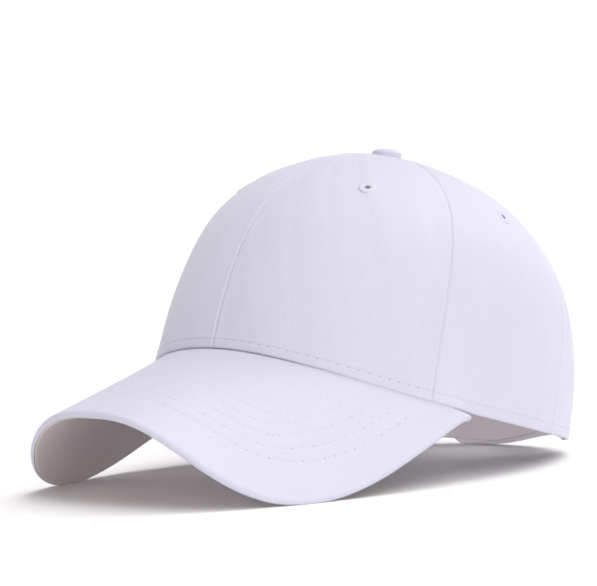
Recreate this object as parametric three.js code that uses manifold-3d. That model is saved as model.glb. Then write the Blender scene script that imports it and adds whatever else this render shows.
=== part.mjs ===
// A six-panel baseball cap of cotton cloth, resting on its peak and rear strap.
// The rear centre seam is open in a slot for a ponytail, above the arch that the strap closes.
// Lengths are in millimetres and angles in degrees. In the cap's own frame the base of the crown
// lies near z = 0, the peak points to -y and the wearer's left is +x.
import * as THREE from 'three';
import { mergeVertices } from 'three/addons/utils/BufferGeometryUtils.js';
import Module from 'manifold-3d';

// Crown
const FRONT_REACH = 92;          // centre of the crown to the front of its base
const REAR_REACH = 117.5;        // centre of the crown to the back of its base
const HALF_WIDTH = 83;           // centre of the crown to the side of its base
const CROWN_HEIGHT = 109;        // base to the top, under the button
const TOP_FORWARD = 6.5;         // how far the top lies forward of the centre
const WALL = 1.8;                // cloth and its backing
const HEM_SIDE_DROP = 7.4;       // how far the base dips at the sides
const HEM_WAVE = 1.2;            // how far the base waves between front and back
const HEM_REAR_LIFT = 3.8;       // how far the base rises at the back
const SIDE_SEAM = 70;            // angle from the front to the seam of front and side panels
const REAR_SEAM = 118;           // angle from the front to the seam of side and rear panels
const FRONT_FLARE = 3.3;         // how far the base swells out, half way from the front to the side
const FLARE_SHARE = 0.3;         // share of the rise where that ends
const SEAM_DIP = 1.2;            // how far the cloth is drawn in along a seam
const SEAM_DIP_ANGLE = 8;        // how far round that reaches
// How the wall leans in: "pull" draws it in as it rises, and a low "rise" keeps it upright.
const PROFILE = {
  front: { pull: 1.13, rise: 0.71 },
  side: { pull: 1.25, rise: 0.35 },
  rear: { pull: 1.0, rise: 0.98 },
};
// Hollows pressed into the rear cloth beside the slot: place, depth and spread on the crown.
const DENTS = [
  { angle: 163, share: 0.62, depth: 3.5, spreadAngle: 9, spreadShare: 0.16 },
  { angle: -165, share: 0.3, depth: 1.5, spreadAngle: 8, spreadShare: 0.1 },
];

// Slot for the ponytail, drawn on the plane through its two ends on the rear seam
const SLOT_FROM = 0.387;         // shares of the crown's rise
const SLOT_TO = 0.838;
const SLOT_HALF_WIDTH = 7.5;
const SLOT_DRIFT = 9;            // how far the upper end wanders to the left
const PLACKET_WIDTH = 6.5;       // folded strip along the slot's left edge
const PLACKET_PROUD = 0.6;       // how far the strip stands above the panel
const PLACKET_END = 1.03;        // its upper end, as a share of the slot's length
const PLACKET_SHEET = { from: 115, to: 190, low: 0.3, high: 0.93 };  // part of the crown that it is cut from

// Arch over the strap
const ARCH_HALF_WIDTH = 39.5;
const ARCH_SPRING = 26;          // height where its upright sides end
const ARCH_TOP = 58.5;

// Strap in two parts, closed with a hook pad and a loop pad
const STRAP_WIDTH = 21;
const STRAP_THICK = 1.6;
const STRAP_TAB = 6;             // length sewn in beside the arch
const STRAP_SLACK = 5;           // how far the strap stays inside the line of the base
const STRAP_SEWN_LIFT = 7;       // lower edge of the long part above the floor, where it is sewn
const SHORT_SEWN_LIFT = 6;       // the same for the short part
const STRAP_PEEK = 2;            // how far the short part stands above the long one
const STRAP_STEP = 1.5;          // how far the short part steps in under the long one
const STRAP_LIES_TO = -0.38 * ARCH_HALF_WIDTH;     // the long part lies on the floor up to this x
const LONG_STRAP_END = -0.9 * ARCH_HALF_WIDTH;     // x of the free ends
const SHORT_STRAP_END = 0.71 * ARCH_HALF_WIDTH;
const STRAP_END_ROUND = 8;
const STRAP_END_BLUNT = 0.45;    // share of the width that is left at the tip of a round end
const STRAP_STEP_LENGTH = 4;     // length of each facet along a strap
const PAD_THICK = 1;
const PAD_MARGIN = 2.5;
const PAD_FROM = -0.53 * ARCH_HALF_WIDTH;
const PAD_TO = 0.38 * ARCH_HALF_WIDTH;
const PAD_CLEAR = 3;             // from a pad's end to where the straps start to part

// Peak: two covers, one above the other
const PEAK_LENGTH = 64;
const PEAK_HALF_WIDTH = 87.7;
const PEAK_BACK = 5.5;           // y of the line that its outline is drawn from
const PEAK_OUTLINE_POWER = 2.7;  // 2 is an ellipse, and more is squarer
const PEAK_TIP_ANGLE = 84;       // where its ends meet the crown
const PEAK_TIP_FROM = 0.78;      // share of the rim where it turns towards the crown
const PEAK_TIP_WIDTH = 1.5;      // how far its ends stand out from the crown
const PEAK_SLOPE = 33.5;
const PEAK_CURL = 67.5;          // how far its sides fall, at PEAK_CURL_AT from the middle
const PEAK_CURL_AT = 80;
const PEAK_CURL_POWER = 2.7;
const PEAK_CURL_GAIN = 0.29 / 70;  // growth of the curl for each mm forward
const UPPER_COVER = 1.8;
const UNDER_COVER = 1.5;
const RIM_ROUND = 0.6;           // how far the covers' faces turn in at the rim

// Sweatband, button and eyelets
const SWEATBAND_SHARE = 0.17;    // share of the crown's rise that it covers
const SWEATBAND_THICK = 1.2;
const SWEATBAND_GAP = 0.5;
const SWEATBAND_CLEAR = 1.5;     // from its ends to the strap's tabs
const BUTTON_RADIUS = 6.7;
const BUTTON_HEIGHT = 3.8;
const BUTTON_EDGE = 0.8;
const BUTTON_STEM = 1.6;
const BUTTON_WASHER = 5;
const EYELET_BORE = 1.2;
const EYELET_BARREL = 1.8;
const EYELET_RING = 3.3;
const EYELET_RISE = 0.7;
const EYELET_FLANGE = 0.4;
const EYELET_SEAT = 0.9;         // from the cloth's inner face to the flange
// Places of the eyelets: across each panel from its front seam, and up the crown's rise
const EYELETS = [
  { name: 'front', from: 0, to: SIDE_SEAM, across: 0.566, share: 0.449 },
  { name: 'side', from: SIDE_SEAM, to: REAR_SEAM, across: 0.48, share: 0.417 },
  { name: 'rear', from: REAR_SEAM, to: 180, across: 0.258, share: 0.5 },
];

const GAP = 0.3;                 // between pieces that are sewn together
const REST_TILT = 17.4;          // how far the front of the crown tips up as the cap rests
const REST_PRESS = 0.8;          // how far the peak's lowest cloth is pressed flat
const TOP_SHARE = 0.98;          // where the panels end round the button's stem

// Facets
const PANEL_ROWS = 14;
const WIDE_PANEL_COLUMNS = 12;
const SIDE_PANEL_COLUMNS = 9;
const PEAK_COLUMNS = 44;
const PEAK_ROWS = 8;
const RING_SIDES = 10;
const BUTTON_SIDES = 16;
const THROUGH = 60;              // length of the prisms that cut through a wall

const rad = THREE.MathUtils.degToRad;
const mix = THREE.MathUtils.lerp;
const smooth = THREE.MathUtils.smoothstep;

// Height of the crown's base at an angle from the front
function baseHeight(angle) {
  const a = rad(angle);
  const round = Math.abs(((angle + 540) % 360) - 180);
  const wave = HEM_WAVE * (Math.cos(3 * a) - Math.cos(a));
  return wave - HEM_SIDE_DROP * Math.sin(a) ** 2 + HEM_REAR_LIFT * smooth(round, 110, 180);
}

// How far a seam or a dent draws the cloth in
function inset(angle, share) {
  let depth = 0;
  for (const seam of [0, SIDE_SEAM, REAR_SEAM, 180, 360 - REAR_SEAM, 360 - SIDE_SEAM, 360]) {
    const off = Math.abs(((angle + 360) % 360) - seam) / SEAM_DIP_ANGLE;
    depth += SEAM_DIP * Math.exp(-off * off) * Math.sin(Math.PI * share) ** 2;
  }
  for (const dent of DENTS) {
    const round = ((angle - dent.angle + 540) % 360) - 180;
    const off = (round / dent.spreadAngle) ** 2 + ((share - dent.share) / dent.spreadShare) ** 2;
    depth += dent.depth * Math.exp(-off);
  }
  return depth;
}

// How far the base swells out beside the peak
function flare(angle, share) {
  const a = rad(angle);
  return Math.cos(a) > 0 ? FRONT_FLARE * Math.sin(2 * a) ** 2 * (1 - smooth(share, 0, FLARE_SHARE)) : 0;
}

// Point of the crown's outer face: share runs from 0 at the base to 1 at the top
function crownFace(angle, share) {
  const a = rad(angle);
  const lean = Math.cos(a) ** 2;
  const end = Math.cos(a) > 0 ? PROFILE.front : PROFILE.rear;
  const pull = mix(PROFILE.side.pull, end.pull, lean);
  const rise = mix(PROFILE.side.rise, end.rise, lean);
  const power = mix(1 / rise, 1 / pull, share);
  const bend = Math.atan(Math.tan((share * Math.PI) / 2) ** power);
  const draw = Math.cos(bend) ** pull;
  const reach = Math.cos(a) > 0 ? FRONT_REACH : REAR_REACH;
  const base = baseHeight(angle);
  const keep = draw * (1 + (flare(angle, share) - inset(angle, share)) / HALF_WIDTH);
  return new THREE.Vector3(
    HALF_WIDTH * Math.sin(a) * keep,
    -reach * Math.cos(a) * keep - TOP_FORWARD * (1 - draw),
    base + (CROWN_HEIGHT - base) * Math.sin(bend) ** rise);
}

// Outward normal of a surface given by a function of two numbers
function normalOf(surface, u, v, stepU, stepV) {
  const alongU = surface(u + stepU, v).sub(surface(u - stepU, v));
  const alongV = surface(u, v + stepV).sub(surface(u, v - stepV));
  return alongU.cross(alongV).normalize();
}

const crownNormal = (angle, share) => normalOf(crownFace, angle, share, 0.5, 0.01);

// Point at a depth under the crown's outer face
function crownUnder(angle, share, depth) {
  const within = THREE.MathUtils.clamp(share, 0.012, 0.988);
  const n = crownNormal(angle, within);
  return crownFace(angle, share).addScaledVector(n, -depth);
}

// Closed body between two sheets, each a function of u and v from 0 to 1
function slab(columns, rows, outer, inner) {
  const across = rows + 1;
  const count = (columns + 1) * across;
  const points = [];
  for (const sheet of [outer, inner]) {
    for (let i = 0; i <= columns; i++) {
      for (let j = 0; j <= rows; j++) points.push(...sheet(i / columns, j / rows).toArray());
    }
  }
  const faces = [];
  const at = (i, j) => i * across + j;
  const quad = (a, b, c, d) => faces.push(a, b, c, a, c, d);
  for (let i = 0; i < columns; i++) {
    for (let j = 0; j < rows; j++) {
      quad(at(i, j), at(i + 1, j), at(i + 1, j + 1), at(i, j + 1));
      quad(count + at(i, j), count + at(i, j + 1), count + at(i + 1, j + 1), count + at(i + 1, j));
    }
    quad(at(i + 1, 0), at(i, 0), count + at(i, 0), count + at(i + 1, 0));
    quad(at(i, rows), at(i + 1, rows), count + at(i + 1, rows), count + at(i, rows));
  }
  for (let j = 0; j < rows; j++) {
    quad(at(0, j), at(0, j + 1), count + at(0, j + 1), count + at(0, j));
    quad(at(columns, j + 1), at(columns, j), count + at(columns, j), count + at(columns, j + 1));
  }
  return outward(points, faces);
}

// Geometry whose faces point out
function outward(points, faces) {
  const corner = (k) => new THREE.Vector3().fromArray(points, 3 * k);
  let volume = 0;
  for (let k = 0; k < faces.length; k += 3) {
    volume += corner(faces[k]).dot(corner(faces[k + 1]).cross(corner(faces[k + 2])));
  }
  const geometry = new THREE.BufferGeometry();
  geometry.setAttribute('position', new THREE.Float32BufferAttribute(points, 3));
  geometry.setIndex(volume < 0 ? faces.toReversed() : faces);
  return geometry;
}

// Turned body from a closed profile of [radius, height] pairs, along +z
function turned(profile, sides) {
  const loop = profile.map(([r, z]) => new THREE.Vector2(r, z));
  const lathe = new THREE.LatheGeometry(loop, sides).rotateX(Math.PI / 2);
  return weld(lathe);
}

function weld(source) {
  const geometry = source.index ? source.clone() : source;
  for (const name of ['normal', 'uv']) geometry.deleteAttribute(name);
  const merged = mergeVertices(geometry, 1e-4);
  const index = [...merged.index.array];
  const faces = [];
  for (let k = 0; k < index.length; k += 3) {
    const [a, b, c] = index.slice(k, k + 3);
    if (a !== b && b !== c && c !== a) faces.push(a, b, c);
  }
  return outward([...merged.attributes.position.array], faces);
}

// Cutting and joining
const wasm = await Module();
wasm.setup();

function solid(geometry) {
  const welded = weld(geometry);
  return new wasm.Manifold(new wasm.Mesh({
    numProp: 3,
    vertProperties: new Float32Array(welded.attributes.position.array),
    triVerts: new Uint32Array(welded.index.array),
  }));
}

function geometryOf(body) {
  const { vertProperties, triVerts } = body.getMesh();
  const geometry = new THREE.BufferGeometry();
  geometry.setAttribute('position', new THREE.BufferAttribute(vertProperties, 3));
  geometry.setIndex(new THREE.BufferAttribute(triVerts, 1));
  return geometry;
}

// Sheet of the crown between two seams, at a depth, that keeps half a gap to each seam
function panelSheet(from, to, depth) {
  return (u, v) => {
    const share = TOP_SHARE * v;
    const nearTop = crownFace((from + to) / 2, share);
    const radius = Math.hypot(nearTop.x, nearTop.y + TOP_FORWARD * (1 - Math.cos(Math.PI * share / 2)));
    const margin = THREE.MathUtils.radToDeg(GAP / 2 / Math.max(radius, 2));
    return crownUnder(mix(from + margin, to - margin, u), share, depth);
  };
}

function panel(from, to, columns) {
  return slab(columns, PANEL_ROWS, panelSheet(from, to, 0), panelSheet(from, to, WALL));
}

// Prism that reaches as far to both sides of its drawing
function prism(shape) {
  const sides = { depth: THROUGH, bevelEnabled: false, steps: 1 };
  return new THREE.ExtrudeGeometry(shape, sides).translate(0, 0, -THROUGH / 2);
}

const slotFoot = crownFace(180, SLOT_FROM).setX(0);
const slotHead = crownFace(180, SLOT_TO).setX(0);

const slotCentre = (s) => SLOT_DRIFT * s ** 3;
const slotHalf = (s) => SLOT_HALF_WIDTH * Math.sin(Math.PI * THREE.MathUtils.clamp(s, 0, 1)) ** 0.8;
const slotLeft = (s) => slotCentre(s) + slotHalf(s);
const slotRight = (s) => slotCentre(s) - slotHalf(s);
const placketEdge = (s) => slotLeft(s) + PLACKET_WIDTH * smooth(s, -0.08, 0.3);

// Band between two edges along the slot, each a function of the share of its length
function slotBand(leftEdge, rightEdge, from, to) {
  const steps = 16;
  const side = (edge, backwards) => Array.from({ length: steps + 1 }, (_, k) => {
    const s = mix(from, to, (backwards ? steps - k : k) / steps);
    return new THREE.Vector2(edge(s), s * slotFoot.distanceTo(slotHead));
  });
  return prism(new THREE.Shape([...side(rightEdge, false), ...side(leftEdge, true)]))
    .applyMatrix4(slotPlane());
}

// Places a drawing's x across the slot, its y up the slot and its z through the crown
function slotPlane() {
  const across = new THREE.Vector3(1, 0, 0);
  const up = slotHead.clone().sub(slotFoot).setX(0).normalize();
  const through = new THREE.Vector3().crossVectors(across, up);
  return new THREE.Matrix4().makeBasis(across, up, through).setPosition(slotFoot);
}

// Prism of the arch, right through the rear of the crown
function archPrism() {
  const shape = new THREE.Shape();
  shape.moveTo(ARCH_HALF_WIDTH, -ARCH_SPRING);
  shape.lineTo(ARCH_HALF_WIDTH, ARCH_SPRING);
  shape.absellipse(0, ARCH_SPRING, ARCH_HALF_WIDTH, ARCH_TOP - ARCH_SPRING, 0, Math.PI);
  shape.lineTo(-ARCH_HALF_WIDTH, -ARCH_SPRING);
  return prism(shape).rotateX(Math.PI / 2).translate(0, REAR_REACH, 0);
}

// Rear panel: the sheet between its seams, less the arch, the slot and the placket
function rearPanel(from, to) {
  const sheet = solid(panel(from, to, WIDE_PANEL_COLUMNS));
  return geometryOf(sheet.subtract(solid(archPrism())).subtract(solid(slotCut)));
}

function slotPlacket() {
  const { from, to, low, high } = PLACKET_SHEET;
  const sheet = (depth) => (u, v) => crownUnder(mix(from, to, u), mix(low, high, v), depth);
  const blank = solid(slab(22, 12, sheet(-PLACKET_PROUD), sheet(WALL)));
  return geometryOf(blank.intersect(solid(slotBand(placketEdge, slotLeft, 0, PLACKET_END))));
}

// Point of the peak's upper face: u from -1 to 1 round it, v from 0 at the crown to 1 at the rim
function peakSurfaceHeight(x, y) {
  const forward = -y - FRONT_REACH;
  const curl = PEAK_CURL * (Math.abs(x) / PEAK_CURL_AT) ** PEAK_CURL_POWER;
  return -curl * (1 + PEAK_CURL_GAIN * forward) - Math.tan(rad(PEAK_SLOPE)) * forward;
}

function rimPlan(turn) {
  const power = 2 / PEAK_OUTLINE_POWER;
  const reach = FRONT_REACH + PEAK_LENGTH + PEAK_BACK;
  const s = Math.sin(turn);
  return new THREE.Vector2(
    PEAK_HALF_WIDTH * Math.sign(s) * Math.abs(s) ** power,
    PEAK_BACK - reach * Math.max(Math.cos(turn), 0) ** power);
}

// The rim's plan curve from the middle to its end, by share of its length
const RIM = (() => {
  const steps = 240;
  const points = [];
  const end = crownFace(PEAK_TIP_ANGLE, 0).y;
  for (let k = 0; k <= steps; k++) {
    const p = rimPlan((k / steps) * Math.PI / 2);
    if (p.y <= end) points.push(p);
  }
  return new THREE.SplineCurve(points);
})();

// How far the peak's sheet is lifted off its free form to meet a point
const peakLift = (p) => p.z - peakSurfaceHeight(p.x, p.y);

// Point where the peak leaves the crown, at a share of the way from the middle to its end
function peakRoot(share) {
  const root = crownFace(PEAK_TIP_ANGLE * share, 0);
  root.z -= GAP;
  return root;
}

// Point of the rim: near its end it runs straight to the crown
function peakRim(share) {
  const plan = RIM.getPointAt(share);
  const free = new THREE.Vector3(plan.x, plan.y, peakSurfaceHeight(plan.x, plan.y));
  const end = peakRoot(1).add(new THREE.Vector3(PEAK_TIP_WIDTH, 0, -PEAK_TIP_WIDTH));
  return free.lerp(end, THREE.MathUtils.clamp((share - PEAK_TIP_FROM) / (1 - PEAK_TIP_FROM), 0, 1) ** 1.5);
}

function peakFace(u, v) {
  const share = Math.min(Math.abs(u), 1);
  const root = peakRoot(share);
  const rim = peakRim(share);
  const x = mix(root.x, rim.x, v);
  const y = mix(root.y, rim.y, v);
  const z = peakSurfaceHeight(x, y) + mix(peakLift(root), peakLift(rim), v);
  return new THREE.Vector3(Math.sign(u) * x, y, z);
}

// Point at a depth under the peak's upper face
function peakUnder(u, v, depth) {
  const inside = THREE.MathUtils.clamp(u, -0.985, 0.985);
  const n = normalOf(peakFace, inside, THREE.MathUtils.clamp(v, 0.03, 0.97), 0.01, 0.02);
  return peakFace(u, v).addScaledVector(n, n.z > 0 ? -depth : depth);
}

const PEAK_DEPTH = UPPER_COVER + GAP + UNDER_COVER;

// Height in the resting pose, before the cap is set down
const restHeight = (p) => p.z * Math.cos(rad(REST_TILT)) - p.y * Math.sin(rad(REST_TILT));

// Level of the floor in that pose
const REST_LEVEL = (() => {
  let lowest = Infinity;
  for (let k = 0; k <= 100; k++) {
    lowest = Math.min(lowest, restHeight(peakUnder(k / 100, 1, PEAK_DEPTH - RIM_ROUND)));
  }
  return lowest + REST_PRESS;
})();

// Height of the floor in the cap's own frame
const floorHeight = (y) => (REST_LEVEL + y * Math.sin(rad(REST_TILT))) / Math.cos(rad(REST_TILT));

function aboveFloor(p) {
  p.z = Math.max(p.z, floorHeight(p.y));
  return p;
}

// Rows crowd towards the rim, where the edge is rounded
const peakRow = (v) => 1 - (1 - v) ** 1.7;
const rimRound = (v) => RIM_ROUND * smooth(v, 0.93, 1) ** 2;

function peakCover(top, bottom) {
  const sheet = (depthAt) => (u, v) => {
    const row = peakRow(v);
    return aboveFloor(peakUnder(2 * u - 1, row, depthAt(row)));
  };
  return slab(PEAK_COLUMNS, PEAK_ROWS, sheet(top), sheet(bottom));
}

const peakUpperCover = () => peakCover(rimRound, () => UPPER_COVER);
const peakUnderCover = () => peakCover(() => UPPER_COVER + GAP, (v) => PEAK_DEPTH - rimRound(v));

// Angle from the rear seam to an x on the line of the base
const roundTo = (x) => THREE.MathUtils.radToDeg(Math.asin(x / HALF_WIDTH));

// Sweatband inside the crown's base
function sweatband() {
  const end = 180 - roundTo(ARCH_HALF_WIDTH + STRAP_TAB + SWEATBAND_CLEAR);
  const sheet = (depth) => (u, v) => {
    return crownUnder(mix(-end, end, u), mix(0.01, SWEATBAND_SHARE, v), depth);
  };
  const depth = WALL + SWEATBAND_GAP;
  return slab(52, 3, sheet(depth), sheet(depth + SWEATBAND_THICK));
}

// Share of the crown's rise at a height
function shareAt(angle, height) {
  let low = 0;
  let high = 1;
  for (let k = 0; k < 20; k++) {
    const half = (low + high) / 2;
    if (crownFace(angle, half).z < height) low = half;
    else high = half;
  }
  return low;
}

// Point of a strap at x: up from its lower edge, and out from the crown's outer face.
// The lower edge is a lift above the floor, and between its sewn ends the strap hangs slack.
function strapPoint(x, up, out, lift) {
  const angle = 180 - roundTo(x);
  const rise = lift / Math.cos(rad(REST_TILT)) + up;
  const p = crownUnder(angle, shareAt(angle, floorHeight(REAR_REACH) + rise), -out);
  p.y -= STRAP_SLACK * (1 - Math.min(Math.abs(x) / ARCH_HALF_WIDTH, 1) ** 2);
  p.z = floorHeight(p.y) + rise;
  return p;
}

// Where the outer face of each part runs, out from the crown's outer face
const SEWN_IN = -(WALL + GAP);
const OVERLAP = 3 * GAP + 2 * PAD_THICK;
const shortOut = (x) => SEWN_IN - STRAP_STEP * smooth(x, -ARCH_HALF_WIDTH, PAD_FROM - PAD_CLEAR);
const longOver = OVERLAP + STRAP_THICK - STRAP_STEP;
const longOut = (x) => SEWN_IN + longOver * (1 - smooth(x, PAD_TO + PAD_CLEAR, ARCH_HALF_WIDTH));

// Lower edges: the long part hangs from the left and lies on the floor at the right
const longLift = (x) => STRAP_SEWN_LIFT * smooth(x, STRAP_LIES_TO, ARCH_HALF_WIDTH - 5);
const shortPeek = (x) => mix(STRAP_PEEK, SHORT_SEWN_LIFT, smooth(-x, 0, ARCH_HALF_WIDTH));
const shortLift = (x) => longLift(x) + shortPeek(x);
const padLift = (x) => shortLift(x) + PAD_MARGIN;

// Flat piece along the strap from x to x, whose free end may be round
function strapPiece({ from, to, out, thick, lift, width, round }) {
  const sheet = (inwards) => (u, v) => {
    const x = mix(from, to, u);
    const left = Math.min(Math.abs(x - round) / STRAP_END_ROUND, 1);
    const keep = Math.max(Math.sqrt(1 - (1 - left) ** 2), STRAP_END_BLUNT);
    return strapPoint(x, width * (0.5 + keep * (v - 0.5)), out(x) - inwards, lift(x));
  };
  return slab(Math.ceil((to - from) / STRAP_STEP_LENGTH), 2, sheet(0), sheet(thick));
}

// Embroidered ring through the cloth
function eyelet(place, side) {
  const ring = EYELET_RING;
  const under = -WALL - EYELET_SEAT;
  const profile = [
    [EYELET_BORE, under - EYELET_FLANGE], [EYELET_BORE, GAP + EYELET_FLANGE],
    [(EYELET_BORE + ring) / 2, GAP + EYELET_RISE], [ring, GAP], [EYELET_BARREL, GAP],
    [EYELET_BARREL, under], [ring - EYELET_FLANGE, under], [EYELET_BORE, under - EYELET_FLANGE],
  ];
  return turned(profile, RING_SIDES).applyMatrix4(eyeletPlace(place, side));
}

function eyeletPlace(place, side) {
  const angle = side * mix(place.from, place.to, place.across);
  const up = new THREE.Vector3(0, 0, 1);
  const turn = new THREE.Quaternion().setFromUnitVectors(up, crownNormal(angle, place.share));
  return new THREE.Matrix4().compose(crownFace(angle, place.share), turn, new THREE.Vector3(1, 1, 1));
}

function withEyelet(geometry, place, side) {
  const radius = EYELET_BARREL + GAP;
  const bore = new THREE.CylinderGeometry(radius, radius, 4 * WALL, RING_SIDES)
    .rotateX(Math.PI / 2).applyMatrix4(eyeletPlace(place, side));
  return geometryOf(solid(geometry).subtract(solid(bore)));
}

// Covered button: dome, stem and washer under the crown
function button() {
  const under = -WALL - 2 * GAP;
  const shoulder = GAP + BUTTON_EDGE;
  const profile = [[0, under - BUTTON_EDGE], [BUTTON_WASHER, under - BUTTON_EDGE], [BUTTON_WASHER, under],
    [BUTTON_STEM, under], [BUTTON_STEM, GAP], [BUTTON_RADIUS, GAP]];
  const steps = 5;
  for (let k = 0; k < steps; k++) {
    const a = (k / steps) * Math.PI / 2;
    profile.push([BUTTON_RADIUS * Math.cos(a), shoulder + (BUTTON_HEIGHT - BUTTON_EDGE) * Math.sin(a)]);
  }
  profile.push([0, GAP + BUTTON_HEIGHT]);
  return turned(profile, BUTTON_SIDES).translate(0, -TOP_FORWARD, CROWN_HEIGHT);
}

// Materials
const cloth = new THREE.MeshStandardMaterial({ color: 0xf2f1f6, roughness: 0.9, metalness: 0 });
const lining = new THREE.MeshStandardMaterial({ color: 0xe9e7ea, roughness: 0.95, metalness: 0 });
const thread = new THREE.MeshStandardMaterial({ color: 0xf6f5f8, roughness: 0.7, metalness: 0 });
const pad = new THREE.MeshStandardMaterial({ color: 0xdfdde2, roughness: 1, metalness: 0 });

const cap = new THREE.Group();

function add(name, geometry, material) {
  const mesh = new THREE.Mesh(geometry, material);
  mesh.name = name;
  cap.add(mesh);
}

// The cut for the slot leaves room for the placket on its left
const slotCut = slotBand((s) => placketEdge(s) + GAP, slotRight, -0.01, PLACKET_END + 0.005);

for (const [side, word] of [[1, 'left'], [-1, 'right']]) {
  const [front, flank, rear] = EYELETS;
  const sheet = (from, to) => (side > 0 ? [from, to] : [-to, -from]);
  const frontSheet = panel(...sheet(0, SIDE_SEAM), WIDE_PANEL_COLUMNS);
  add(`front_panel_${word}`, withEyelet(frontSheet, front, side), cloth);
  const flankSheet = panel(...sheet(SIDE_SEAM, REAR_SEAM), SIDE_PANEL_COLUMNS);
  add(`side_panel_${word}`, withEyelet(flankSheet, flank, side), cloth);
  const back = rearPanel(...sheet(REAR_SEAM, 180));
  add(`rear_panel_${word}`, withEyelet(back, rear, side), cloth);
  for (const place of EYELETS) add(`${place.name}_eyelet_${word}`, eyelet(place, side), thread);
}
add('slot_placket', slotPlacket(), cloth);
add('button', button(), cloth);
add('sweatband', sweatband(), lining);
add('peak_upper_cover', peakUpperCover(), cloth);
add('peak_under_cover', peakUnderCover(), cloth);

const sewn = ARCH_HALF_WIDTH + STRAP_TAB;
const strap = { thick: STRAP_THICK, width: STRAP_WIDTH };
const long = { from: LONG_STRAP_END, to: sewn, round: LONG_STRAP_END, out: longOut, lift: longLift };
const short = { from: -sewn, to: SHORT_STRAP_END, round: SHORT_STRAP_END, out: shortOut, lift: shortLift };
add('strap_long', strapPiece({ ...strap, ...long }), cloth);
add('strap_short', strapPiece({ ...strap, ...short }), cloth);

const padWidth = STRAP_WIDTH - SHORT_SEWN_LIFT - 2 * PAD_MARGIN;
const fastener = { thick: PAD_THICK, width: padWidth, round: Infinity, lift: padLift };
const padding = { ...fastener, from: PAD_FROM, to: PAD_TO };
add('hook_pad', strapPiece({ ...padding, out: (x) => longOut(x) - STRAP_THICK - GAP }), pad);
add('loop_pad', strapPiece({ ...padding, out: (x) => shortOut(x) + GAP + PAD_THICK }), pad);

cap.rotation.x = -rad(REST_TILT);
cap.position.z = -REST_LEVEL;
cap.updateMatrixWorld(true);
const box = new THREE.Box3().setFromObject(cap, true);
cap.position.y = -(box.min.y + box.max.y) / 2;

const model = new THREE.Group();
model.add(cap);
export default model;
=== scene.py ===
# White cotton ponytail cap: sewn crown panels, curved peak, rear slot and strap, on the CAD frame.
# Lengths are in millimetres and angles in degrees in the cap's own frame, where the base of the
# crown lies near z = 0, the peak points to -y and the wearer's left is +x.
import math

import bpy
import numpy as np
from mathutils import Matrix, Vector


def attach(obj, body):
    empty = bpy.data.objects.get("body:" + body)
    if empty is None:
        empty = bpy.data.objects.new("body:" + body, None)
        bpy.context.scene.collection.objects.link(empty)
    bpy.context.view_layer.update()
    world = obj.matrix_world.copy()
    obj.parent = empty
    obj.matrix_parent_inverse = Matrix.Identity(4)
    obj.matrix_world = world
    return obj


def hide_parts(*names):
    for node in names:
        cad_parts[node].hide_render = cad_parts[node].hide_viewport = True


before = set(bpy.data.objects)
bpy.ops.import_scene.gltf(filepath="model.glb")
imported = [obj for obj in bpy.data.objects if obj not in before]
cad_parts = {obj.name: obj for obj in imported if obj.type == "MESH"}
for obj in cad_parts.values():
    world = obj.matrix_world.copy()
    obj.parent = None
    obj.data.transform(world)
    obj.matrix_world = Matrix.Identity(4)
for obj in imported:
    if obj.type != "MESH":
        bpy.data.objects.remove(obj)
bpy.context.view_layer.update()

# Crown
FRONT_REACH = 92.0
REAR_REACH = 117.5
HALF_WIDTH = 83.0
CROWN_HEIGHT = 109.0
TOP_FORWARD = 6.5
WALL = 1.8
HEM_SIDE_DROP = 7.4
HEM_WAVE = 1.2
HEM_REAR_LIFT = 3.8
SIDE_SEAM = 70.0
REAR_SEAM = 118.0
FRONT_FLARE = 3.3
FLARE_SHARE = 0.3
SEAM_DIP = 1.2
SEAM_DIP_ANGLE = 8.0
PROFILE = {"front": (1.13, 0.71), "side": (1.25, 0.35), "rear": (1.0, 0.98)}
RISE_PER_SHARE = 171.0
GAP = 0.3
SEAM_GAP = 0.06
HEM_LIFT = 0.45
HEM_LIFT_TO = 86.0
HEM_LIFT_FADE = 8.0
HEM_LIFT_SHARE = 0.04
REAR_LIFT_FROM = 110.0
RIPPLE_BEAT = 0.7

# Relief of the seams: height of the ridge beside a seam, and depth of the groove along it
FRONT_SEAM = (0.28, 1.05)
SOFT_SEAM = (0.06, 0.4)
SLOT_SEAM = (0.1, 0.62)
RIDGE_AT = 1.5
RIDGE_WIDTH = 0.9
GROOVE_WIDTH = 0.42
HEM_PAD = 0.3
HEM_PRESS = 0.28
HEM_PRESS_WIDTH = 0.55

# Soft hollows in the cloth: place, depth and spread
DENTS = [
    {"angle": 163, "share": 0.62, "depth": 3.5, "spread_angle": 9, "spread_share": 0.16},
    {"angle": -165, "share": 0.3, "depth": 1.5, "spread_angle": 8, "spread_share": 0.1},
    {"angle": 64, "share": 0.36, "depth": 0.7, "spread_angle": 5, "spread_share": 0.12},
    {"angle": 52, "share": 0.12, "depth": 0.5, "spread_angle": 12, "spread_share": 0.08},
    {"angle": 128, "share": 0.2, "depth": 0.9, "spread_angle": 10, "spread_share": 0.1},
    {"angle": -130, "share": 0.45, "depth": 0.8, "spread_angle": 9, "spread_share": 0.12},
    {"angle": 76, "share": 0.0, "depth": -1.1, "spread_angle": 5, "spread_share": 0.03},
]

# Slow waves of the cloth: height, and turns around and up the crown
RIPPLES = [
    {"height": 0.22, "around": 9, "up": 1.5, "phase": 0.4},
    {"height": 0.16, "around": 17, "up": 2.5, "phase": 2.1},
    {"height": 0.10, "around": 31, "up": 4.5, "phase": 4.0},
]

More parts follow.
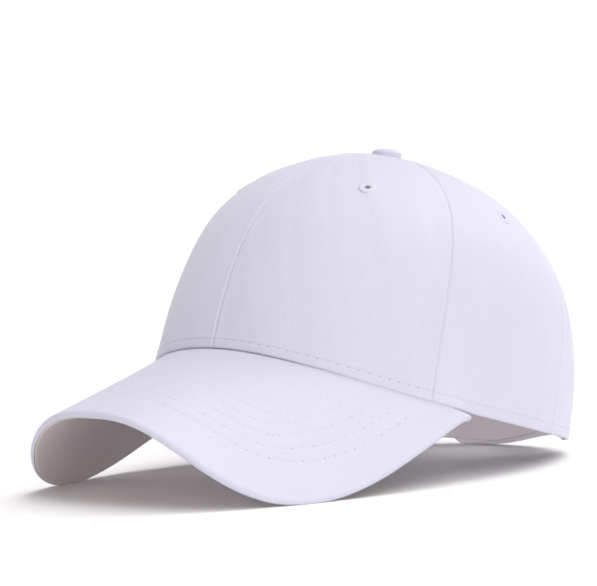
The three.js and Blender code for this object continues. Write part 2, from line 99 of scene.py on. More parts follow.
# Slot, placket and arch
SLOT_FROM = 0.387
SLOT_TO = 0.838
SLOT_HALF_WIDTH = 7.5
SLOT_DRIFT = 9.0
SLOT_POWER = 0.8
PLACKET_WIDTH = 6.5
PLACKET_PROUD = 0.7
PLACKET_FROM = -0.08
PLACKET_FULL_AT = 0.3
PLACKET_TAPER = 0.05
PLACKET_END = 1.04
PLACKET_ROUND = 1.1
PLACKET_ROW = 1.6
PLACKET_ROW_WIDTH = 0.4
PLACKET_PRESS = 0.12
PLACKET_SINK = 0.4
PLACKET_ROWS = 90
PLACKET_END_ROWS = 4
ARCH_HALF_WIDTH = 39.5
ARCH_SPRING = 26.0
ARCH_TOP = 58.5

# Strap
STRAP_WIDTH = 21.0
STRAP_THICK = 1.6
STRAP_TAB = 6.0
STRAP_SLACK = 5.0
STRAP_SEWN_LIFT = 7.0
SHORT_SEWN_LIFT = 3.0
PAD_NARROWER = 6.0
STRAP_PEEK = 2.0
STRAP_STEP = 1.5
STRAP_LIES_TO = -0.38 * ARCH_HALF_WIDTH
LONG_STRAP_END = -0.9 * ARCH_HALF_WIDTH
SHORT_STRAP_END = 0.71 * ARCH_HALF_WIDTH
STRAP_END_ROUND = 8.0
STRAP_END_BLUNT = 0.45
PAD_THICK = 1.0
PAD_MARGIN = 2.5
PAD_FROM = -0.53 * ARCH_HALF_WIDTH
PAD_TO = 0.38 * ARCH_HALF_WIDTH
PAD_CLEAR = 3.0
SEWN_IN = -(WALL + GAP)
OVERLAP = 3 * GAP + 2 * PAD_THICK
STRAP_ROW = 2.2
STRAP_ROW_WIDTH = 0.5
STRAP_PRESS = 0.18
FACES_FORWARD = -0.5

# Peak
PEAK_LENGTH = 64.0
PEAK_HALF_WIDTH = 87.7
PEAK_BACK = 5.5
PEAK_OUTLINE_POWER = 2.7
PEAK_TIP_ANGLE = 84.0
PEAK_TIP_FROM = 0.78
PEAK_TIP_WIDTH = 1.5
PEAK_TIP_POWER = 1.5
PEAK_SLOPE = 33.5
PEAK_CURL = 67.5
PEAK_CURL_AT = 80.0
PEAK_CURL_POWER = 2.7
PEAK_CURL_GAIN = 0.29 / 70
PEAK_THICK = 3.6
PEAK_HALF_MOST = 0.45
PEAK_SEEN_TO = 0.975

# Covers of the peak: how far each wraps the rim, how deep it is pressed and where its inner face lies
COVERS = [
    {"name": "cover_upper", "columns": 281, "rows": 118, "wrap": (-40, 90), "press": 1, "inset": 1.0,
     "inner": 1.7},
    {"name": "cover_under", "columns": 201, "rows": 70, "wrap": (-48, -90), "press": -0.7, "inset": 1.2,
     "inner": 2.1},
]
RIM_STEPS = 12

# Stitch rows on the peak, parallel to its rim
PEAK_ROW_FIRST = 20.0
PEAK_ROW_STEP = 6.0
PEAK_ROW_COUNT = 6
PEAK_ROW_DRAW = 4.0
PEAK_ROW_DRAWN = (0.42, 0.72)
PEAK_STITCH = 5.2
PEAK_PRESS = 0.08
PEAK_PRESS_WIDTH = 0.8
PEAK_ROW_STOP_TOP = 3.5
PEAK_ROW_STOP_UNDER = 9.0
HEM_ROW = 4.0
HEM_STITCH = 4.6
STRAP_STITCH = 3.2
STITCH_BITE = 0.7
STITCH_SIDES = 6
STITCH_RINGS = 7
SUNK = 0.13
THREAD = 0.2
HOLE_UP = 0.04
HEM_HOLE = 0.7
SIDE_HOLE = 0.2
PEAK_HOLE = 0.42
PEAK_HOLE_FADE = 0.45
STRAP_HOLE = 0.25

# Small parts
SWEATBAND_SHARE = 0.17
SWEATBAND_THICK = 1.2
SWEATBAND_GAP = 0.5
SWEATBAND_CLEAR = 1.5
SWEATBAND_ROW = 3.0
SWEATBAND_ROW_WIDTH = 0.6
SWEATBAND_PRESS = 0.15
SWEATBAND_WAVE = 0.12
SWEATBAND_WAVES = 60
BUTTON_RADIUS = 6.7
BUTTON_HEIGHT = 3.4
BUTTON_SKIRT = 1.3
BUTTON_PLEAT = 0.05
BUTTON_PLEATS = 18
BUTTON_TILT = 8.0
EYELET_RING = 4.0
EYELET_RISE = 0.35
EYELET_BORE = 1.25
EYELET_CUT = 0.35
EYELET_WINDS = 36
EYELET_WOUND = 0.05
EYELET_UNEVEN = 0.03
EYELET_UNDER = 3.2
EYELETS = [
    {"name": "front", "from": 0.0, "to": SIDE_SEAM, "across": 0.566, "share": 0.449},
    {"name": "side", "from": SIDE_SEAM, "to": REAR_SEAM, "across": 0.48, "share": 0.417},
    {"name": "rear", "from": REAR_SEAM, "to": 180.0, "across": 0.258, "share": 0.5},
]

# Pose in the row frame
REST_TILT = 17.4
TILT = math.radians(REST_TILT)
CAP_BACK = 24.46
CAP_UP = 34.4
FLOOR_IN_CAP = -CAP_UP
FLOOR_CLEAR = 0.02

# Camera of the photograph: direction, distance and framing
VIEW_TURN = 45.06
VIEW_RISE = 4.02
VIEW_ROLL = -1.94
VIEW_DISTANCE = 1.6687
VIEW_TARGET = (0.0, 0.00166, 0.07028)
LENS = 223.0
SHIFT = (-0.0293, 0.0428)

# Studio light: a white band at the horizon, and a warm one above it that is brighter before and
# behind the cap than beside it
HORIZON = 1.02
LOW_SKY = 1.7
LOW_SKY_SIDE = 0.15
WARM = (1.0, 0.92, 0.885, 1)
COOL = (1.0, 0.985, 1.0)
WHITE_BAND = (0.12, 0.22)
WARM_BAND_END = (0.38, 0.52)
FLOOR_HALF = 40.0
FLOOR_WHITE = 0.97
SUNS = [
    {"name": "front_light", "right": 0.35, "toward": 0.6, "up": 0.7, "softness": 40, "strength": 1.0},
    {"name": "rear_light", "right": 0.35, "toward": -0.3, "up": 0.87, "softness": 40, "strength": 1.08},
    {"name": "top_light", "right": 0.0, "toward": 0.0, "up": 1.0, "softness": 40, "strength": 1.0},
    {"name": "right_light", "right": 0.7, "toward": -0.35, "up": 0.62, "softness": 24, "strength": 0.5},
    {"name": "left_light", "right": -0.4, "toward": 0.6, "up": 0.7, "softness": 40, "strength": 0.16},
]

# Cloth: twist of the weave, scale that repeats the ribs every two pitches, and surface; the
# relief's depth is in metres
TWILL_TURN = 28.0
RIB_SCALE = 0.159155
CLOTH_ROUGHNESS = 0.86
CLOTH_SHEEN = 0.18
SLUB = 0.85
RELIEF = 0.00012
# Colour of the painted glow that stands in for daylight coming through thin cloth.
PAINTED_GLOW_COLOUR = (1.0, 0.85, 0.88, 1.0)


def mix(a, b, t):
    return a + (b - a) * t


def smooth(x, low, high):
    t = np.clip((x - low) / (high - low), 0, 1)
    return t * t * (3 - 2 * t)


def unit(v):
    return v / np.maximum(np.linalg.norm(v, axis=-1, keepdims=True), 1e-9)


def bell(distance, width):
    return np.exp(-((distance / width) ** 2))


def rounding(near, r):
    """Depth of a rounded edge of radius r, at a distance from the edge."""
    inset = np.clip(r - near, 0, r)
    return r - np.sqrt(np.maximum(r * r - inset * inset, 0))


def path_length(line):
    return np.concatenate([[0], np.cumsum(np.linalg.norm(np.diff(line, axis=0), axis=1))])


# Crown surface
def base_height(angle):
    a = np.radians(angle)
    turn = np.abs(((angle + 540) % 360) - 180)
    wave = HEM_WAVE * (np.cos(3 * a) - np.cos(a))
    return wave - HEM_SIDE_DROP * np.sin(a) ** 2 + HEM_REAR_LIFT * smooth(turn, REAR_LIFT_FROM, 180)


def swell(angle, share):
    a = np.radians(angle)
    front = FRONT_FLARE * np.sin(2 * a) ** 2 * (1 - smooth(share, 0, FLARE_SHARE))
    depth = 0
    for seam in (0, SIDE_SEAM, REAR_SEAM, 180, 360 - REAR_SEAM, 360 - SIDE_SEAM, 360):
        off = ((angle + 360) % 360 - seam) / SEAM_DIP_ANGLE
        depth = depth + SEAM_DIP * np.exp(-off * off) * np.sin(np.pi * share) ** 2
    for dent in DENTS:
        turn = ((angle - dent["angle"] + 540) % 360) - 180
        off = (turn / dent["spread_angle"]) ** 2 + ((share - dent["share"]) / dent["spread_share"]) ** 2
        depth = depth + dent["depth"] * np.exp(-off)
    return np.where(np.cos(a) > 0, front, 0) - depth


def crown(angle, share):
    angle, share = np.broadcast_arrays(np.asarray(angle, float), np.asarray(share, float))
    a = np.radians(angle)
    lean = np.cos(a) ** 2
    ahead = np.cos(a) > 0
    pull_end = np.where(ahead, PROFILE["front"][0], PROFILE["rear"][0])
    rise_end = np.where(ahead, PROFILE["front"][1], PROFILE["rear"][1])
    pull = mix(PROFILE["side"][0], pull_end, lean)
    rise = mix(PROFILE["side"][1], rise_end, lean)
    power = mix(1 / rise, 1 / pull, share)
    bend = np.arctan(np.tan(np.clip(share, 0, 0.9999) * np.pi / 2) ** power)
    draw = np.cos(bend) ** pull
    reach = np.where(ahead, FRONT_REACH, REAR_REACH)
    base = base_height(angle)
    keep = draw * (1 + swell(angle, share) / HALF_WIDTH)
    x = HALF_WIDTH * np.sin(a) * keep
    y = -reach * np.cos(a) * keep - TOP_FORWARD * (1 - draw)
    z = base + (CROWN_HEIGHT - base) * np.sin(bend) ** rise
    return np.stack([x, y, z], -1)


def crown_normal(angle, share):
    within = np.clip(share, 0.012, 0.988)
    along_u = crown(angle + 0.5, within) - crown(angle - 0.5, within)
    along_v = crown(angle, within + 0.01) - crown(angle, within - 0.01)
    return unit(np.cross(along_u, along_v))


def ripple(angle, share):
    a = np.radians(angle)
    height = 0
    for wave in RIPPLES:
        turn = wave["around"] * a + 2 * np.pi * wave["up"] * share + wave["phase"]
        height = height + wave["height"] * np.sin(turn) * np.cos(RIPPLE_BEAT * turn + wave["up"])
    return height * np.sin(np.pi * np.clip(share, 0, 1)) ** 0.5


def crown_out(angle, share, out):
    rise = np.asarray(out) + ripple(angle, share)
    return crown(angle, share) + crown_normal(angle, share) * rise[..., None]


# Profiles by distance from an edge: how far the cloth rises, and how deep a fold is rounded
def seam_profile(d, ridge, groove):
    return ridge * bell(d - RIDGE_AT, RIDGE_WIDTH) - groove * bell(d, GROOVE_WIDTH)


def fold_round(d):
    return rounding(d, WALL / 2)


def hem_swell(d):
    pad = HEM_PAD * (1 - smooth(d, HEM_ROW + 0.5, HEM_ROW + 2.5))
    return pad - HEM_PRESS * bell(d - HEM_ROW, HEM_PRESS_WIDTH)


def distance_to(line, points):
    """Shortest distance of each point from a line of points."""
    flat = points.reshape(-1, 3)
    best = np.full(len(flat), np.inf)
    for a, b in zip(line[:-1], line[1:]):
        along = b - a
        t = np.clip((flat - a) @ along / max(along @ along, 1e-12), 0, 1)
        best = np.minimum(best, np.linalg.norm(flat - a - t[:, None] * along, axis=1))
    return best.reshape(points.shape[:-1])


# Slot's own drawing plane, and the angles searched for the edges beside it
SEARCH_TO = 222.0
SEARCH_STEPS = 5200
slot_foot = crown(180.0, SLOT_FROM) * [0, 1, 1]
slot_head = crown(180.0, SLOT_TO) * [0, 1, 1]
slot_length = np.linalg.norm(slot_head - slot_foot)
slot_up = (slot_head - slot_foot) / slot_length
SEAM_TOP = float((crown(180.0, 0.999) - slot_foot) @ slot_up / slot_length)


def slot_share(points):
    return (points - slot_foot) @ slot_up / slot_length


def slot_middle(s):
    rising = SLOT_DRIFT * np.clip(s, 0, 1) ** 3
    return np.where(s > 1, SLOT_DRIFT * (1 - smooth(s, 1, SEAM_TOP)), rising)


def slot_half(s):
    return SLOT_HALF_WIDTH * np.maximum(np.sin(np.pi * np.clip(s, 0, 1)), 0) ** SLOT_POWER


def slot_left(s):
    return slot_middle(s) + slot_half(s)


def slot_right(s):
    return slot_middle(s) - slot_half(s)


def placket_edge(s):
    opening = smooth(s, PLACKET_FROM, PLACKET_FULL_AT)
    closing = smooth(s, PLACKET_END - PLACKET_TAPER, PLACKET_END)
    return slot_left(s) + PLACKET_WIDTH * opening * (1 - closing)


def in_arch(points):
    x, z = np.abs(points[..., 0]), points[..., 2]
    up = np.clip((z - ARCH_SPRING) / (ARCH_TOP - ARCH_SPRING), 0, 1)
    return (z < ARCH_TOP) & (x < ARCH_HALF_WIDTH * np.sqrt(1 - up * up))


def edge_angles(shares, side, beyond, arch):
    """Angle at which each row of a rear panel ends, going round from the seam at its side."""
    turns = np.linspace(REAR_SEAM, SEARCH_TO, SEARCH_STEPS)
    points = crown(side * turns[None, :], np.asarray(shares)[:, None])
    stop = beyond(points)
    if arch:
        stop |= in_arch(points)
    return side * turns[np.argmax(stop, axis=1)]


def beyond_left(edge):
    return lambda points: points[..., 0] < edge(slot_share(points)) + GAP / 2


def beyond_right(points):
    return points[..., 0] > slot_right(slot_share(points)) - GAP / 2


# Peak surface
def peak_height(x, y):
    forward = -y - FRONT_REACH
    curl = PEAK_CURL * (np.abs(x) / PEAK_CURL_AT) ** PEAK_CURL_POWER
    return -curl * (1 + PEAK_CURL_GAIN * forward) - math.tan(math.radians(PEAK_SLOPE)) * forward


def rim_plan():
    turn = np.linspace(0, np.pi / 2, 3001)
    power = 2 / PEAK_OUTLINE_POWER
    reach = FRONT_REACH + PEAK_LENGTH + PEAK_BACK
    x = PEAK_HALF_WIDTH * np.sin(turn) ** power
    y = PEAK_BACK - reach * np.maximum(np.cos(turn), 0) ** power
    keep = y <= crown(PEAK_TIP_ANGLE, 0.0)[1]
    x, y = x[keep], y[keep]
    length = np.concatenate([[0], np.cumsum(np.hypot(np.diff(x), np.diff(y)))])
    return length / length[-1], x, y


RIM_SHARE, RIM_X, RIM_Y = rim_plan()


def peak_root(share):
    return crown(PEAK_TIP_ANGLE * share, 0.0) - [0, 0, GAP]


def peak_rim(share):
    x = np.interp(share, RIM_SHARE, RIM_X)
    y = np.interp(share, RIM_SHARE, RIM_Y)
    free = np.stack([x, y, peak_height(x, y)], -1)
    end = peak_root(1.0) + [PEAK_TIP_WIDTH, 0, -PEAK_TIP_WIDTH]
    turn = np.clip((share - PEAK_TIP_FROM) / (1 - PEAK_TIP_FROM), 0, 1) ** PEAK_TIP_POWER
    return free + (end - free) * turn[..., None]


def peak(u, v):
    u, v = np.broadcast_arrays(np.asarray(u, float), np.asarray(v, float))
    share = np.minimum(np.abs(u), 1)
    root, rim = peak_root(share), peak_rim(share)
    x = mix(root[..., 0], rim[..., 0], v)
    y = mix(root[..., 1], rim[..., 1], v)
    lift_root = root[..., 2] - peak_height(root[..., 0], root[..., 1])
    lift_rim = rim[..., 2] - peak_height(rim[..., 0], rim[..., 1])
    z = peak_height(x, y) + mix(lift_root, lift_rim, v)
    return np.stack([np.sign(u) * x, y, z], -1)


def peak_normal(u, v):
    u, v = np.clip(u, -0.985, 0.985), np.clip(v, 0.03, 0.97)
    along_u = peak(u + 0.01, v) - peak(u - 0.01, v)
    along_v = peak(u, v + 0.02) - peak(u, v - 0.02)
    n = unit(np.cross(along_u, along_v))
    return np.where(n[..., 2:] > 0, n, -n)


def rim_table():
    """Distance from the rim at a grid of places on half of the peak."""
    u = np.linspace(0.0005, 1, 161)
    v = np.linspace(0, 1, 121)
    rim = peak(np.linspace(0, 1, 241), 1.0)
    return u, v, distance_to(rim, peak(u[:, None], v[None, :]))


TABLE_U, TABLE_V, TABLE_D = rim_table()


def peak_depth_at(u):
    """Distance from the rim to the crown."""
    return np.interp(np.abs(u), TABLE_U, TABLE_D[:, 0])


def peak_v(u, distance):
    """Place along the peak at a distance from its rim."""
    u, distance = np.broadcast_arrays(np.abs(u), distance)
    low = np.clip(np.searchsorted(TABLE_U, u) - 1, 0, len(TABLE_U) - 2)
    t = np.clip((u - TABLE_U[low]) / (TABLE_U[low + 1] - TABLE_U[low]), 0, 1)
    out = np.empty(u.shape)
    for k in np.unique(low):
        here = low == k
        a = np.interp(distance[here], TABLE_D[k, ::-1], TABLE_V[::-1])
        b = np.interp(distance[here], TABLE_D[k + 1, ::-1], TABLE_V[::-1])
        out[here] = mix(a, b, t[here])
    return out


# Meshes
def to_row(points):
    """Points in metres in the row's frame, none of them below the floor."""
    x, y, z = points[..., 0], points[..., 1], points[..., 2]
    back = y * math.cos(TILT) + z * math.sin(TILT) + CAP_BACK
    up = z * math.cos(TILT) - y * math.sin(TILT) + CAP_UP
    return np.stack([x, back, np.maximum(up, FLOOR_CLEAR)], -1) / 1000


def new_mesh(name, points, faces, materials, uv=None, face_material=None):
    mesh = bpy.data.meshes.new(name)
    mesh.from_pydata(to_row(points).tolist(), [], faces)
    for material in materials:
        mesh.materials.append(material)
    mesh.polygons.foreach_set("use_smooth", [True] * len(mesh.polygons))
    if face_material is not None:
        mesh.polygons.foreach_set("material_index", face_material)
    if uv is not None:
        corner = np.empty(len(mesh.loops), np.int64)
        mesh.loops.foreach_get("vertex_index", corner)
        layer = mesh.uv_layers.new(name="cloth")
        layer.data.foreach_set("uv", uv[corner].ravel().astype(np.float32))
    mesh.update()
    obj = bpy.data.objects.new(name, mesh)
    bpy.context.scene.collection.objects.link(obj)
    return obj


def finish_piece(obj, slot, *nodes):
    if nodes:
        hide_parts(*nodes)
    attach(obj, "root")
    return obj


def slab_faces(nu, nv):
    grid = np.arange(nu * nv).reshape(nu, nv)
    low = grid + nu * nv
    quads = []

    def strip(a, b, c, d):
        quads.append(np.stack([a.ravel(), b.ravel(), c.ravel(), d.ravel()], -1))

    strip(grid[:-1, :-1], grid[1:, :-1], grid[1:, 1:], grid[:-1, 1:])
    strip(low[:-1, :-1], low[:-1, 1:], low[1:, 1:], low[1:, :-1])
    strip(grid[1:, 0], grid[:-1, 0], low[:-1, 0], low[1:, 0])
    strip(grid[:-1, -1], grid[1:, -1], low[1:, -1], low[:-1, -1])
    strip(grid[0, :-1], grid[0, 1:], low[0, 1:], low[0, :-1])
    strip(grid[-1, 1:], grid[-1, :-1], low[-1, :-1], low[-1, 1:])
    return np.concatenate(quads)


def outward(points, faces):
    a, b, c, d = (points[faces[:, k]] for k in range(4))
    volume = (np.cross(b, c) * a).sum() + (np.cross(c, d) * a).sum()
    return faces if volume > 0 else faces[:, ::-1]


def metric_uv(points):
    """Lengths across and along a sheet in millimetres, from its middle line."""
    across = np.linalg.norm(np.diff(points, axis=0), axis=-1)
    across = np.concatenate([np.zeros((1, points.shape[1])), np.cumsum(across, 0)])
    across = across - across[-1:] / 2
    along = np.linalg.norm(np.diff(points, axis=1), axis=-1).mean(0)
    along = np.concatenate([[0], np.cumsum(along)])[None, :].repeat(points.shape[0], 0)
    return np.stack([across, along], -1)


def slab(name, outer, inner, material, uv=None):
    nu, nv = outer.shape[:2]
    points = np.concatenate([outer.reshape(-1, 3), inner.reshape(-1, 3)])
    uv = (metric_uv(outer) if uv is None else uv).reshape(-1, 2)
    faces = outward(points, slab_faces(nu, nv))
    return new_mesh(name, points, faces.tolist(), [material], np.concatenate([uv, uv]))


STITCH_TURN = np.arange(STITCH_SIDES) * 2 * np.pi / STITCH_SIDES
STITCH_AT = np.linspace(0, 1, STITCH_RINGS)
STITCH_HUMP = np.sin(np.pi * STITCH_AT) ** 0.6


def stitch_points(p, n, side, sunk):
    """Rings round one stitch, which rises out of the cloth and dives back."""
    centre = p + n * (THREAD * (1.5 * STITCH_HUMP - 1.1) - sunk)[:, None]
    wide = THREAD * (0.35 + 0.65 * STITCH_HUMP)
    beside, above = np.cos(STITCH_TURN)[None, :, None], np.sin(STITCH_TURN)[None, :, None]
    around = beside * side[:, None] + above * n[:, None]
    return (centre[:, None] + wide[:, None, None] * around).reshape(-1, 3)


def stitch_faces(start):
    faces = []
    for i in range(STITCH_RINGS - 1):
        for j in range(STITCH_SIDES):
            a = start + i * STITCH_SIDES + j
            b = start + i * STITCH_SIDES + (j + 1) % STITCH_SIDES
            faces.append([a, b, b + STITCH_SIDES, a + STITCH_SIDES])
    return faces


def hole_points(p, n, along, side, radius):
    """Flat disc in front of a stitch, dark with painted shade where the needle hole is."""
    middle = p - along * STITCH_BITE / 2 + n * HOLE_UP
    return [middle + radius * (math.cos(q) * along + math.sin(q) * side) for q in STITCH_TURN]


def uneven(k):
    """Share of a needle hole's size, which changes along a row."""
    return 0.85 + 0.15 * math.sin(2.4 * k) + 0.1 * math.sin(0.9 * k)


def stitches(name, runs, thread, shade, pitch, sunk=0.0):
    """Stitches along lines of points with their normals, and dark discs of a given radius with painted shade
    for the needle holes.
    """
    points, faces, kind = [], [], []
    for line, normal, hole in runs:
        step = path_length(line)
        count = max(int(step[-1] // pitch), 1)
        for k in range(count):
            where = (k + 0.5) * step[-1] / count + (STITCH_AT - 0.5) * (pitch - STITCH_BITE)
            p = np.stack([np.interp(where, step, line[:, i]) for i in range(3)], -1)
            n = unit(np.stack([np.interp(where, step, normal[:, i]) for i in range(3)], -1))
            along = unit(np.gradient(p, axis=0))
            side = np.cross(along, n)
            sewn = stitch_faces(len(points))
            points.extend(stitch_points(p, n, side, sunk))
            start = len(points)
            points.extend(hole_points(p[0], n[0], along[0], side[0], hole * uneven(k)))
            faces += [*sewn, list(range(start, start + STITCH_SIDES))]
            kind += [0] * len(sewn) + [1]
    return new_mesh(name, np.array(points), faces, [thread, shade], face_material=kind)


# Materials
def node(tree, kind, **values):
    made = tree.nodes.new(kind)
    for key, value in values.items():
        if key in made.inputs.keys():
            made.inputs[key].default_value = value
        else:
            setattr(made, key, value)
    return made


def stretched_noise(tree, coordinates, scale, detail=3.0):
    place = node(tree, "ShaderNodeMapping")
    place.inputs["Scale"].default_value = scale
    tree.links.new(coordinates, place.inputs["Vector"])
    noise = node(tree, "ShaderNodeTexNoise", Scale=1.0, Detail=detail, Roughness=0.6)
    tree.links.new(place.outputs["Vector"], noise.inputs["Vector"])
    return noise.outputs["Fac"]


def math_node(tree, operation, a, b):
    made = node(tree, "ShaderNodeMath", operation=operation)
    for socket, value in zip(made.inputs, (a, b)):
        if isinstance(value, (int, float)):
            socket.default_value = value
        else:
            tree.links.new(value, socket)
    return made.outputs[0]


def twill(tree, coordinates, pitch):
    """Ribs of a woven cloth, from 0 to 1, that repeat every two pitches."""
    place = node(tree, "ShaderNodeMapping")
    place.inputs["Scale"].default_value = (1 / pitch, 1 / pitch, 1 / pitch)
    place.inputs["Rotation"].default_value = (0, 0, math.radians(TWILL_TURN))
    tree.links.new(coordinates, place.inputs["Vector"])
    waves = []
    for direction in ("X", "Y"):
        wave = node(tree, "ShaderNodeTexWave", Scale=RIB_SCALE, Distortion=0.35)
        wave.bands_direction = direction
        tree.links.new(place.outputs["Vector"], wave.inputs["Vector"])
        waves.append(wave.outputs["Fac"])
    return math_node(tree, "MULTIPLY", waves[0], waves[1])


def weighted(tree, a, share_a, b, share_b):
    """Sum of two values, each times its share."""
    first = math_node(tree, "MULTIPLY", a, share_a)
    second = math_node(tree, "MULTIPLY", b, share_b)
    return math_node(tree, "ADD", first, second)


def two_colours(tree, value, dark, light):
    """Colour that turns from dark to light with a value."""
    ramp = node(tree, "ShaderNodeValToRGB")
    ramp.color_ramp.elements[0].color = (*dark, 1)
    ramp.color_ramp.elements[1].color = (*light, 1)
    tree.links.new(value, ramp.inputs["Fac"])
    return ramp


def raise_surface(tree, shader, height, strength, depth):
    bump = node(tree, "ShaderNodeBump", Strength=strength, Distance=depth)
    tree.links.new(height, bump.inputs["Height"])
    tree.links.new(bump.outputs["Normal"], shader.inputs["Normal"])


def fabric(name, light, dark, pitch=0.5, weave=0.25, painted_glow=0.0):
    """Woven cotton with long streaks in the thread and soft clouds of tone, and a painted glow of a given
    strength.
    """
    material = bpy.data.materials.new(name)
    material.use_nodes = True
    tree = material.node_tree
    shader = tree.nodes["Principled BSDF"]
    shader.inputs["Roughness"].default_value = CLOTH_ROUGHNESS
    shader.inputs["Sheen Weight"].default_value = CLOTH_SHEEN
    shader.inputs["Sheen Roughness"].default_value = 0.5
    shader.inputs["Specular IOR Level"].default_value = 0.25
    shader.inputs["Emission Color"].default_value = PAINTED_GLOW_COLOUR
    shader.inputs["Emission Strength"].default_value = painted_glow
    uv = node(tree, "ShaderNodeUVMap", uv_map="cloth").outputs["UV"]
    streak = stretched_noise(tree, uv, (1.3, 0.1, 1.0))
    cloud = stretched_noise(tree, uv, (0.03, 0.03, 1.0), detail=2.0)
    ramp = two_colours(tree, weighted(tree, streak, 0.6, cloud, 0.4), dark, light)
    ramp.color_ramp.elements[0].position = 0.3
    ramp.color_ramp.elements[1].position = 0.7
    tree.links.new(ramp.outputs["Color"], shader.inputs["Base Color"])
    height = weighted(tree, streak, SLUB, twill(tree, uv, pitch), weave)
    raise_surface(tree, shader, height, 0.6, RELIEF)
    return material


def plain(name, colour, roughness, grain, depth):
    """Matt material with a fine grain in the object's own space."""
    material = bpy.data.materials.new(name)
    material.use_nodes = True
    tree = material.node_tree
    shader = tree.nodes["Principled BSDF"]
    shader.inputs["Roughness"].default_value = roughness
    shader.inputs["Sheen Weight"].default_value = 0.2
    place = node(tree, "ShaderNodeTexCoord").outputs["Object"]
    noise = stretched_noise(tree, place, (grain, grain, grain))
    ramp = two_colours(tree, noise, [0.86 * c for c in colour], colour)
    tree.links.new(ramp.outputs["Color"], shader.inputs["Base Color"])
    raise_surface(tree, shader, noise, 0.7, depth)
    return material


CLOTH = fabric("white_cotton", (0.665, 0.665, 0.775), (0.625, 0.625, 0.74))
STRAP_CLOTH = fabric("strap_cotton", (0.665, 0.665, 0.775), (0.625, 0.625, 0.74))
# Painted light: the strap's inner face is a lighter copy of the cloth with a faint glow, standing in for
# daylight that comes through the strap, so its inner face isn't dark.
STRAP_INSIDE_PAINTED_LIGHT = fabric("strap_inside_painted_light", (0.70, 0.69, 0.72), (0.66, 0.65, 0.68), painted_glow=0.19)
# Painted shade: the under cover is the same white cotton, given a warm pink tint that stands in for the warm
# shade falling under the peak.
UNDER = fabric("under_cotton_shade_tint", (0.77, 0.69, 0.69), (0.72, 0.64, 0.64))
# Painted light: the band's cloth is lighter than the crown's, which brightens the shaded inside of the cap.
LINING = fabric("band_cotton", (0.90, 0.85, 0.88), (0.86, 0.81, 0.84), pitch=0.8, weave=1.0)
THREAD_WHITE = plain("white_thread", (0.70, 0.695, 0.80), 0.6, 2500, 0.0001)
# Painted shade for needle holes: flat dark discs, deep on the hem, paler on the peak and strap.
HOLE_SHADE = plain("needle_hole_painted_shade", (0.22, 0.20, 0.22), 1.0, 2500, 0.00005)
PEAK_HOLE_SHADE = plain("shallow_hole_painted_shade", (0.47, 0.46, 0.54), 1.0, 2500, 0.00005)
PAD = plain("pad_loops", (0.62, 0.60, 0.63), 1.0, 1500, 0.0005)


# Crown panels: steps beside an edge, crowding towards it, as shares and in millimetres
EDGE_STEPS = np.array([0, 0.0014, 0.004, 0.008, 0.013, 0.02, 0.03])
HEM_STEPS = np.array([0, 0.1, 0.3, 0.6, 0.9, 1.4, 2.0, 2.7, 3.3, 3.7, 4.0, 4.3, 4.7, 5.4, 6.3, 7.2])
PANEL_TOP = 0.985


def across_steps(count):
    return np.concatenate([EDGE_STEPS, np.linspace(0.04, 0.96, count), 1 - EDGE_STEPS[::-1]])


def up_steps(count, more=()):
    steps = np.concatenate([HEM_STEPS / RISE_PER_SHARE, np.linspace(0.048, PANEL_TOP, count), more])
    return np.unique(np.round(steps, 6))


def crown_panel(name, angles, shares, middle, seams, folds, node_name):
    """Panel over a grid of angles; seams and folds are the lines of its edges."""
    over_peak = 1 - smooth(np.abs(angles), HEM_LIFT_TO - HEM_LIFT_FADE, HEM_LIFT_TO)
    raised = shares + HEM_LIFT / RISE_PER_SHARE * over_peak * (1 - smooth(shares, 0, HEM_LIFT_SHARE))
    face = crown(angles, raised)
    to_hem = RISE_PER_SHARE * shares[None, :] + 0 * angles
    out = hem_swell(to_hem) - fold_round(to_hem)
    under = WALL - fold_round(to_hem)
    for line, ridge, groove in seams:
        out = out + seam_profile(distance_to(line, face), ridge, groove)
    for line in folds:
        d = distance_to(line, face)
        out = out + hem_swell(d) - fold_round(d)
        under = under - fold_round(d)
    outer = crown_out(angles, raised, out)
    inner = crown_out(angles, raised, -under)
    radius = np.hypot(face[..., 0], face[..., 1])
    uv = np.stack([radius * np.radians(angles - middle), to_hem], -1)
    panel = slab(name, outer, inner, CLOTH, uv)
    return finish_piece(panel, "cloth", node_name)


def between(low, high, count):
    t = across_steps(count)
    return mix(low[None, :], high[None, :], t[:, None])


def seam_line(angle):
    return crown(angle, np.linspace(0, 1, 90))


def seam_gap(shares):
    """Angle of half a gap beside a seam."""
    radius = np.maximum(HALF_WIDTH * np.cos(shares * np.pi / 2), 3)
    return np.degrees(SEAM_GAP / 2 / radius)


def plain_panel(word, side, name, low, high, count):
    shares = up_steps(112)
    gap = seam_gap(shares)
    edges = sorted((side * low, side * high))
    angles = between(edges[0] + gap, edges[1] - gap, count)
    low_seam = FRONT_SEAM if low == 0 else SOFT_SEAM
    seams = [(seam_line(side * low), *low_seam), (seam_line(side * high), *SOFT_SEAM)]
    middle = side * (low + high) / 2
    return crown_panel(f"crown_{name}_{word}", angles, shares, middle, seams, [], f"{name}_panel_{word}")


def arch_rows():
    """Shares that crowd about the top of the arch."""
    offsets = np.array([-7, -4.5, -3, -2, -1.3, -0.8, -0.45, -0.2, -0.05, 0.1, 0.4, 0.9, 1.5])
    shares = np.linspace(0.2, 0.6, 2000)
    height = crown(180.0, shares)[:, 2]
    return np.interp(ARCH_TOP + offsets, height, shares)


